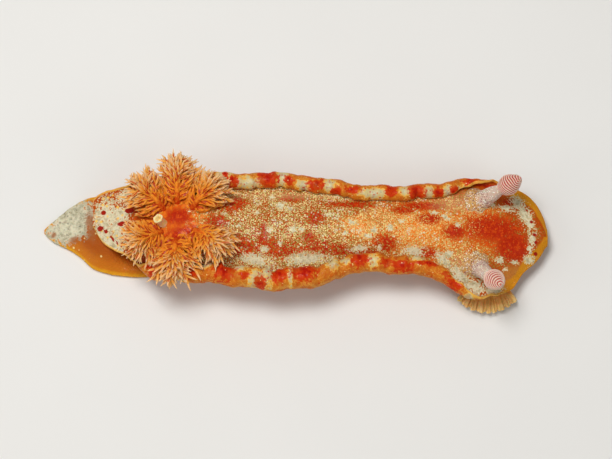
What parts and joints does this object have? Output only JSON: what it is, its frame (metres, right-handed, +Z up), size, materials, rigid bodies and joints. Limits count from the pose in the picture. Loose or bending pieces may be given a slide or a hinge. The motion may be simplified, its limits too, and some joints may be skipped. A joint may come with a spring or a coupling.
{
  "type": "spanish dancer sea slug",
  "caption": "Still model of a crawling Spanish dancer sea slug: rolled mantle edges, feathery gills, ringed rhinophores and a leaf-shaped tail.",
  "frame": {"origin": "on the floor, on the flat sole of the foot, half-way along the animal's length", "axes": "+X towards the head, +Y to the animal's left, +Z up"},
  "size_m": [0.1204, 0.0366, 0.02],
  "materials": {
    "skin": "moist, soft skin",
    "mantle_edge": "moist, soft skin",
    "foot": "moist, soft skin",
    "tail": "moist, soft skin",
    "gill": "moist, soft skin",
    "rhinophore": "moist, soft skin",
    "tentacle": "moist, soft skin"
  },
  "bodies": {
    "root": {"foot_front": "foot", "foot_middle": "foot", "foot_rear": "foot", "tail": "tail", "anal_papilla": "tail", "back_front": "skin", "back_middle": "skin", "back_rear": "skin", "head": "skin", "mouth": "skin", "mantle_brim": "mantle_edge", "mantle_lip": "mantle_edge", "mantle_edge_left_rear": "mantle_edge", "mantle_edge_left_middle": "mantle_edge", "mantle_edge_left_front": "mantle_edge", "mantle_edge_left_head": "mantle_edge", "mantle_edge_right_rear": "mantle_edge", "mantle_edge_right_middle": "mantle_edge", "mantle_edge_right_front": "mantle_edge", "mantle_edge_right_head": "mantle_edge", "gill_1": "gill", "gill_2": "gill", "gill_3": "gill", "gill_4": "gill", "gill_5": "gill", "gill_6": "gill", "rhinophore_left_sheath": "rhinophore", "rhinophore_left_stalk": "rhinophore", "rhinophore_left_club": "rhinophore", "rhinophore_right_sheath": "rhinophore", "rhinophore_right_stalk": "rhinophore", "rhinophore_right_club": "rhinophore", "oral_tentacle_left": "tentacle", "oral_tentacle_right": "tentacle"}
  },
  "joints": []
}
